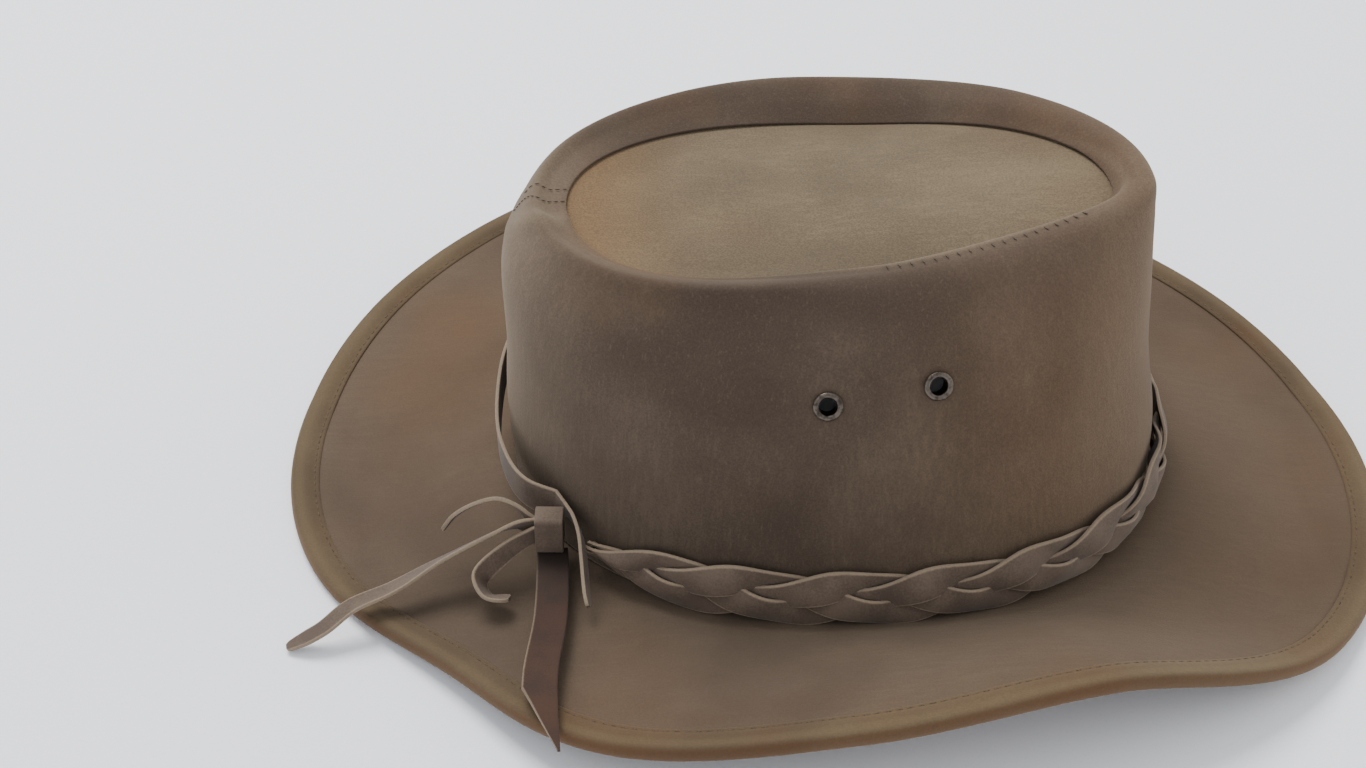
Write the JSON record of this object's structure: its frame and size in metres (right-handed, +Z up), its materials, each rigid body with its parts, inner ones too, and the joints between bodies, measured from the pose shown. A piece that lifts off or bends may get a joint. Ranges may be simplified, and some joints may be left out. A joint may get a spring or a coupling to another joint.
{
  "type": "leather bush hat",
  "caption": "Wide-brimmed leather bush hat with a rolled-rim crown and recessed tip, stitched hem, vent eyelets and a knotted braided band with loose tails.",
  "frame": {"origin": "centre of the bounding box, on the surface that the brim rests on", "axes": "+X toward the front of the hat, the narrower end of the tip, +Y toward the wearer's left, +Z up"},
  "size_m": [0.3624, 0.2948, 0.1199],
  "materials": {
    "crown_leather": "matt nubuck, dark grey-brown",
    "tip_leather": "matt nubuck, worn lighter tan",
    "brim_leather": "matt nubuck, brown with rust patches",
    "hem_leather": "matt nubuck, golden to reddish brown, stitched",
    "band_leather": "flat split-leather strips with pale cut edges",
    "eyelet_metal": "dull pewter-coloured metal"
  },
  "bodies": {
    "root": {"crown_side": "crown_leather", "crown_tip": "tip_leather", "brim": "brim_leather", "brim_hem": "hem_leather", "eyelet_near_back": "eyelet_metal", "eyelet_near_front": "eyelet_metal", "eyelet_far_back": "eyelet_metal", "eyelet_far_front": "eyelet_metal", "band_strand_1": "band_leather", "band_strand_2": "band_leather", "band_strand_3": "band_leather", "band_strap": "band_leather", "band_keeper": "band_leather", "tail_long": "band_leather", "tail_thin": "band_leather", "tail_wide": "band_leather", "tail_loop": "band_leather"}
  },
  "joints": []
}
